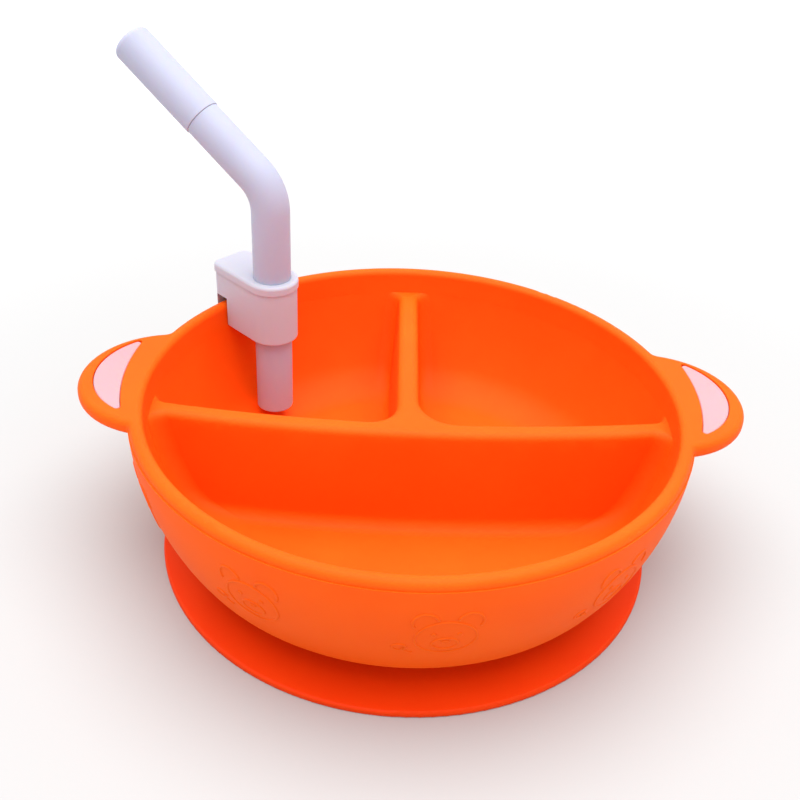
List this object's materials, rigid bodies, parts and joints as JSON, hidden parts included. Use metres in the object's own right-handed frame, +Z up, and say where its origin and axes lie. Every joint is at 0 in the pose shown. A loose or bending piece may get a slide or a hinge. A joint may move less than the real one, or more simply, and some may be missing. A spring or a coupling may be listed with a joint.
{
  "type": "toddler suction bowl",
  "caption": "Round divided silicone bowl with two ear handles on a flexible suction foot, with a bent drinking straw held at the rim by a lift-off clip.",
  "frame": {"origin": "on the bowl's axis, at the surface of the table it stands on", "axes": "+Z up; the ears point along +X and -X; the front, with the large compartment, faces -Y"},
  "size_m": [0.1796, 0.15, 0.1258],
  "materials": {
    "orange_silicone": "matte moulded silicone",
    "pink_silicone": "matte moulded silicone",
    "lilac_plastic": "satin moulded plastic",
    "lilac_silicone": "satin moulded silicone"
  },
  "bodies": {
    "bowl": {"bowl_body": "orange_silicone", "suction_foot": "orange_silicone", "left_ear_inlay": "pink_silicone", "right_ear_inlay": "pink_silicone"},
    "clip": {"straw_clip": "lilac_plastic"},
    "straw": {"straw_tube": "lilac_silicone"},
    "mouthpiece": {"straw_mouthpiece": "lilac_silicone"}
  },
  "joints": [
    {"name": "clip_lift_off", "type": "slide", "parent": "bowl", "child": "clip", "axis": [0, 0, 1], "range_m": [0, 0.034]},
    {"name": "straw_turn", "type": "hinge", "parent": "clip", "child": "straw", "pos_m": [-0.04182, 0.03806, 0.052], "axis": [0, 0, 1], "continuous": true},
    {"name": "mouthpiece_pull_off", "type": "slide", "parent": "straw", "child": "mouthpiece", "axis": [-0.715, 0.3674, 0.5948], "range_m": [0, 0.0125]}
  ]
}
